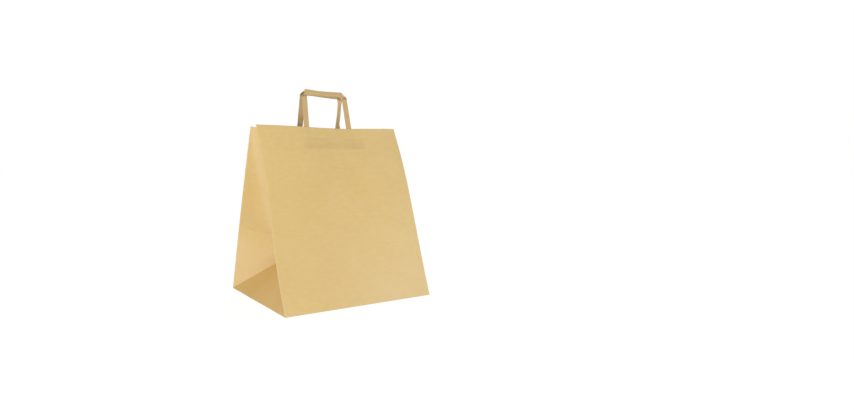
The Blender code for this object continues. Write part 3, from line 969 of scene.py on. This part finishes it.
# where a point lies on its gusset
def gussetPlaces(tree, around, up):
    backMiddle = bag["width"] + bag["depth"] + edgeX
    fromBack = calc(tree, "ABSOLUTE", calc(tree, "SUBTRACT", around, backMiddle))
    fromMiddle = calc(tree, "ABSOLUTE", calc(tree, "SUBTRACT", fromBack, edgeX + half))
    inward = calc(tree, "SUBTRACT", half, fromMiddle)
    onGusset = calc(tree, "GREATER_THAN", inward, 0.0)
    return {
        "up": up,
        "fromBack": fromBack,
        "inward": inward,                               # from the nearer side fold, below zero on the panels
        "under": calc(tree, "SUBTRACT", inward, up),    # below the base triangle's upper folds
        "above": calc(tree, "SUBTRACT", up, half),      # above the crease
        "onGusset": onGusset,
        "onRear": product(tree, onGusset, calc(tree, "LESS_THAN", fromBack, edgeX + half)),
        "onLeft": calc(tree, "GREATER_THAN", around, backMiddle),
    }


# painted shade on the base triangles: deepest under their upper folds, with a dark painted line there, more on
# the rear half, and painted paler again by the front corner
def addTriangleTones(tree, colour, at):
    onTriangle = product(tree, smooth(tree, at["under"], 0.0, kraft["foldSoft"]), at["onGusset"])
    faint, strong = kraft["tuckedShade"]
    deep = smooth(tree, at["under"], 0.0, kraft["tuckedReach"])
    deep = calc(tree, "MULTIPLY_ADD", deep, faint - strong, strong)
    colour = tint(tree, colour, kraft["tuckedShadeColour"], onTriangle, deep)
    line = product(tree, fallOff(tree, at["under"], kraft["tuckedLine"]), onTriangle)
    colour = tint(tree, colour, kraft["shade"], line, kraft["tuckedLineShade"])
    middle, soft = edgeX + half, kraft["rearSoft"]
    rear = product(tree, onTriangle, smooth(tree, at["fromBack"], middle + soft, middle - soft))
    colour = tint(tree, colour, kraft["shade"], rear, kraft["rearShade"])
    corner = fallOff(tree, at["inward"], kraft["cornerReach"])
    corner = product(tree, corner, calc(tree, "SUBTRACT", onTriangle, rear))
    return tint(tree, colour, kraft["pale"], corner, kraft["cornerPale"])


# painted shade down into the crease, painted light below it, and painted shade again by the base triangle's
# fold
def addCreaseTones(tree, colour, at):
    near = fallOff(tree, at["above"], kraft["creaseSpan"])
    near = product(tree, near, calc(tree, "GREATER_THAN", at["above"], 0.0), near, at["onRear"])
    colour = tint(tree, colour, kraft["shade"], near, kraft["creaseShade"])
    below = product(tree, smooth(tree, at["above"], *kraft["underFade"]), at["onRear"],
                    smooth(tree, at["under"], 0.0, -kraft["foldSoft"]))
    colour = tint(tree, colour, kraft["paleWearAndLight"], below, kraft["underPale"])
    deep = product(tree, fallOff(tree, at["under"], -kraft["underReach"]), below,
                   smooth(tree, at["inward"], *kraft["underStart"]))
    return tint(tree, colour, kraft["shade"], deep, kraft["underShade"])


# how far a line on the gusset, from its top to its foot, lies from the side fold at each height
def lineAt(tree, up, ends):
    (topIn, topUp), (lowIn, lowUp) = ends
    slope = (lowIn - topIn) / (topUp - lowUp)
    return calc(tree, "MULTIPLY_ADD", up, -slope, topIn + slope * topUp)


# painted light and shade on the left gusset: painted shade on its outer facet, and a painted pale line further
# in
def addLeftGussetLightAndShade(tree, colour, at):
    leftGussetPainted = product(tree, at["onRear"], at["onLeft"], smooth(tree, at["above"], *kraft["leftGussetPaintFoot"]))
    past = calc(tree, "SUBTRACT", lineAt(tree, at["up"], kraft["facet"]), at["inward"])
    outer = product(tree, smooth(tree, past, -kraft["facetSoft"], kraft["facetSoft"]), leftGussetPainted)
    colour = tint(tree, colour, kraft["shade"], outer, kraft["facetShade"])
    away = calc(tree, "SUBTRACT", at["inward"], lineAt(tree, at["up"], kraft["paintedLightLine"]))
    away = calc(tree, "ABSOLUTE", away)
    pale = product(tree, smooth(tree, away, kraft["paintedLightWidth"], 0.0), leftGussetPainted)
    return tint(tree, colour, kraft["paleWearAndLight"], pale, kraft["paintedLightPale"])


# painted light: the panels paler towards their right edge, mostly at the foot, and the gussets at the foot;
# painted shade by the panels' left edge
def addPanelLightAndShade(tree, place, colour, around, up):
    width = bag["width"]
    fromLeft = calc(tree, "MODULO", around, width + bag["depth"])
    onPanel = calc(tree, "LESS_THAN", fromLeft, width)
    drift = noiseAt(tree, place, kraft["driftSize"], 2.0)
    low = product(tree, fallOff(tree, up, kraft["footReach"]), drift, 2.0)
    pale = smooth(tree, fromLeft, kraft["fadeStart"], width)
    pale = calc(tree, "MULTIPLY_ADD", pale, kraft["footPale"] - kraft["footLeft"], kraft["footLeft"])
    edge = product(tree, smooth(tree, fromLeft, width * kraft["edgeEnd"], width), kraft["edgePale"])
    pale = product(tree, calc(tree, "MULTIPLY_ADD", low, pale, edge), onPanel)
    onGusset = calc(tree, "SUBTRACT", 1.0, onPanel)
    pale = calc(tree, "MULTIPLY_ADD", product(tree, low, kraft["gussetPale"]), onGusset, pale)
    colour = mixColour(tree, pale, colour, kraft["paleWearAndLight"])
    deep = smooth(tree, fromLeft, width * kraft["edgeEnd"], kraft["edgeStart"])
    deep = product(tree, deep, smooth(tree, up, *kraft["deepTop"]), smooth(tree, up, 0.0, kraft["deepFoot"]),
                   onPanel)
    return tint(tree, colour, kraft["shade"], deep, kraft["edgeDeep"])


def addFoldWearAndHighlight(tree, place, colour, around, up):
    width, depth = bag["width"], bag["depth"]
    paleWearAndLight = useGroup(tree, foldGroup, Distance=up, Place=place, Width=kraft["creaseWidth"]).outputs[0]
    for fold in (0.0, width, width + depth, 2 * width + depth, 2 * width + 2 * depth):
        away = calc(tree, "SUBTRACT", around, fold)
        line = useGroup(tree, foldGroup, Distance=away, Place=place, Width=kraft["foldWidth"]).outputs[0]
        paleWearAndLight = calc(tree, "MAXIMUM", paleWearAndLight, line)
    away = calc(tree, "SUBTRACT", up, half)
    crease = useGroup(tree, foldGroup, Distance=away, Place=place, Width=kraft["creaseWidth"]).outputs[0]
    crease = product(tree, crease, calc(tree, "GREATER_THAN", around, width + half),
                     calc(tree, "LESS_THAN", around, 2 * width + depth + half), kraft["creaseWearAndHighlight"])
    paleWearAndLight = calc(tree, "MAXIMUM", paleWearAndLight, crease)
    return tint(tree, colour, kraft["paleWearAndLight"], paleWearAndLight, kraft["foldShade"])


def makeBagMaterial():
    made, tree, shader, place = newMaterial("kraftPaper")
    paper = placePaper(tree, place, kraft["pale"], kraft["deep"], kraft["stretch"], kraft["roughness"])
    split = addNode(tree, "SeparateXYZ", Vector=place)
    around, up = split.outputs[0], split.outputs[1]
    colour, raised = addGluedTones(tree, place, paper.outputs["Colour"])
    at = gussetPlaces(tree, around, up)
    for addTones in (addTriangleTones, addCreaseTones, addLeftGussetLightAndShade):
        colour = addTones(tree, colour, at)
    colour = addPanelLightAndShade(tree, place, colour, around, up)
    colour = addFoldWearAndHighlight(tree, place, colour, around, up)
    finishPaper(tree, shader, paper, colour, raised)
    return made


def makeStripMaterial():
    made, tree, shader, place = newMaterial("gluedStrip")
    paper = placePaper(tree, place, kraft["pale"], kraft["deep"], kraft["stretch"], kraft["roughness"])
    finishPaper(tree, shader, paper, paper.outputs["Colour"])
    return made


tapeLook = {
    # the back handle's tape is a paler copy of the front's colours: painted light
    "pale": {front: (0.670, 0.485, 0.245, 1.0), back: (0.790, 0.600, 0.325, 1.0)},
    "deep": {front: (0.480, 0.320, 0.130, 1.0), back: (0.570, 0.400, 0.180, 1.0)},
    "dark": (0.250, 0.165, 0.075, 1.0),     # painted shade: along the folded edges, under the bar, and where the legs lie in shade
    "stretch": (1.0, 0.4, 1.0),
    "roughness": 0.70,
    # painted shade along the tape's folded edges
    "edgeShade": 0.16,
    "edgeStart": 0.70,                      # share of the tape's half width where that begins
    "underShade": 0.40,                     # painted shadow along the lower edge of the bar
    "underStart": 0.55,
    "coverShade": 0.60,                     # painted shadow on the legs, just below the bar
    "coverReach": 0.004,
    "legShade": {front: (0.0, 0.0), back: (0.38, 0.0)},     # painted shade on the left and right leg, all along
    "footShade": {front: (0.0, 0.0), back: (0.40, 0.45)},   # and more painted shade towards the rim
    "footStart": 0.35,                      # share of a leg, from the bar down, where that begins
}


# the places on a tape: across it, and along it from the middle of its bar
def makeTapeMaterial(side, name):
    made, tree, shader, place = newMaterial(name)
    paper = placePaper(tree, place, tapeLook["pale"][side], tapeLook["deep"][side], tapeLook["stretch"],
                       tapeLook["roughness"])
    split = addNode(tree, "SeparateXYZ", Vector=place)
    over = split.outputs[0]
    halfBar, halfTape = tape["barSpan"][side] / 2, tape["width"] / 2
    legHeight = tape["rise"] - halfTape
    along = calc(tree, "SUBTRACT", split.outputs[1], legHeight + halfBar)
    fromMiddle = calc(tree, "ABSOLUTE", along)
    onLeg = calc(tree, "GREATER_THAN", fromMiddle, halfBar)
    edge = smooth(tree, calc(tree, "ABSOLUTE", over), halfTape * tapeLook["edgeStart"], halfTape)
    shade = product(tree, edge, tapeLook["edgeShade"])
    under = smooth(tree, over, -halfTape * tapeLook["underStart"], -halfTape)
    under = product(tree, under, calc(tree, "SUBTRACT", 1.0, onLeg))
    shade = calc(tree, "MULTIPLY_ADD", under, tapeLook["underShade"], shade)
    # the shade that the bar throws on its own legs
    below = calc(tree, "SUBTRACT", fromMiddle, halfBar + halfTape)
    cover = product(tree, fallOff(tree, below, tapeLook["coverReach"]), onLeg)
    shade = calc(tree, "MULTIPLY_ADD", cover, tapeLook["coverShade"], shade)
    foot = smooth(tree, fromMiddle, halfBar + legHeight * tapeLook["footStart"], halfBar + legHeight)
    isLeft = calc(tree, "LESS_THAN", along, 0.0)
    for where, shades in ((onLeg, tapeLook["legShade"]), (foot, tapeLook["footShade"])):
        onLeft, onRight = shades[side]
        strength = calc(tree, "MULTIPLY_ADD", isLeft, onLeft - onRight, onRight)
        shade = calc(tree, "MULTIPLY_ADD", where, strength, shade, clamp=True)
    # the painted shade, mixed into the tape's colour
    colour = mixColour(tree, shade, paper.outputs["Colour"], tapeLook["dark"])
    finishPaper(tree, shader, paper, colour)
    return made


body.data.materials.append(makeBagMaterial())
frontHandle.data.materials.append(makeTapeMaterial(front, "frontTape"))
backHandle.data.materials.append(makeTapeMaterial(back, "backTape"))
stripMaterial = makeStripMaterial()
for piece in (frontPatch, backPatch):
    piece.data.materials.append(stripMaterial)
print("paper materials made")

studio = {
    "ambient": 0.56,
    "keyPower": 43.0,
    "keyPlace": (-1.67, -2.48, 0.62),
    "keySize": 1.2,
    "rimPower": 30.0,
    "rimPlace": (1.5, 2.4, 1.5),
    "rimSize": 1.2,
    "aim": (0.0, 0.0, 0.18),
    "floorColour": (0.90, 0.90, 0.90, 1.0),
    "floorShown": (0.12, 0.12, 0.12, 1.0),  # what is left of that colour, and of its shadows, for the camera
    "floorWhite": 0.93,                     # the plain white that is added to it
    "floorSize": 16.0,
    "floorDrop": 0.0004,
}


# camera, glossy and transmission rays see the plain white, all others the real light
def seenRays(tree):
    path = tree.nodes.new("ShaderNodeLightPath")
    seen = calc(tree, "MAXIMUM", path.outputs["Is Camera Ray"], path.outputs["Is Transmission Ray"])
    return calc(tree, "MAXIMUM", seen, path.outputs["Is Glossy Ray"])


def makeFloor():
    reach, level = studio["floorSize"] / 2, -studio["floorDrop"]
    corners = [(x * reach, y * reach, level) for x, y in ((-1, -1), (1, -1), (1, 1), (-1, 1))]
    mesh = bpy.data.meshes.new("studioFloor")
    mesh.from_pydata(corners, [], [(0, 1, 2, 3)])
    floor = bpy.data.objects.new("studioFloor", mesh)
    scene.collection.objects.link(floor)
    made = bpy.data.materials.new("whiteFloor")
    made.use_nodes = True
    tree = made.node_tree
    shader = tree.nodes["Principled BSDF"]
    shader.inputs["Roughness"].default_value = 0.9
    shader.inputs["Specular IOR Level"].default_value = 0.0
    shader.inputs["Emission Color"].default_value = (1.0, 1.0, 1.0, 1.0)
    seen = seenRays(tree)
    colour = mixColour(tree, seen, studio["floorColour"], studio["floorShown"])
    tree.links.new(colour, shader.inputs["Base Color"])
    tree.links.new(calc(tree, "MULTIPLY", seen, studio["floorWhite"]), shader.inputs["Emission Strength"])
    mesh.materials.append(made)


def makeWorld():
    world = bpy.data.worlds.new("studio")
    scene.world = world
    world.use_nodes = True
    tree = world.node_tree
    shown = addNode(tree, "Background", Color=(1.0, 1.0, 1.0, 1.0), Strength=1.0)
    light = tree.nodes["Background"]
    light.inputs["Color"].default_value = (1.0, 1.0, 1.0, 1.0)
    light.inputs["Strength"].default_value = studio["ambient"]
    mixed = addNode(tree, "MixShader", i0=seenRays(tree), i1=light.outputs[0], i2=shown.outputs[0])
    tree.links.new(mixed.outputs[0], tree.nodes["World Output"].inputs[0])


def makeLamp(name, place, size, power):
    data = bpy.data.lights.new(name, "AREA")
    data.shape = "DISK"
    data.size = size
    data.energy = power
    lamp = bpy.data.objects.new(name, data)
    lamp.location = place
    lamp.rotation_euler = (Vector(studio["aim"]) - Vector(place)).to_track_quat("-Z", "Y").to_euler()
    lamp.visible_camera = False
    scene.collection.objects.link(lamp)


view = {
    "place": (-0.6345, -1.3229, 0.3361),
    "turn": 34.43,
    "tilt": -5.426,
    "lens": 27.17,
    "sensor": 36.0,
}


def makeCamera():
    data = bpy.data.cameras.new("camera")
    data.lens = view["lens"]
    data.sensor_width = view["sensor"]
    camera = bpy.data.objects.new("camera", data)
    camera.location = view["place"]
    camera.rotation_euler = (math.radians(90 + view["tilt"]), 0.0, -math.radians(view["turn"]))
    scene.collection.objects.link(camera)
    scene.camera = camera


makeFloor()
makeWorld()
makeLamp("key", studio["keyPlace"], studio["keySize"], studio["keyPower"])
makeLamp("rim", studio["rimPlace"], studio["rimSize"], studio["rimPower"])
makeCamera()
print("studio and camera placed")
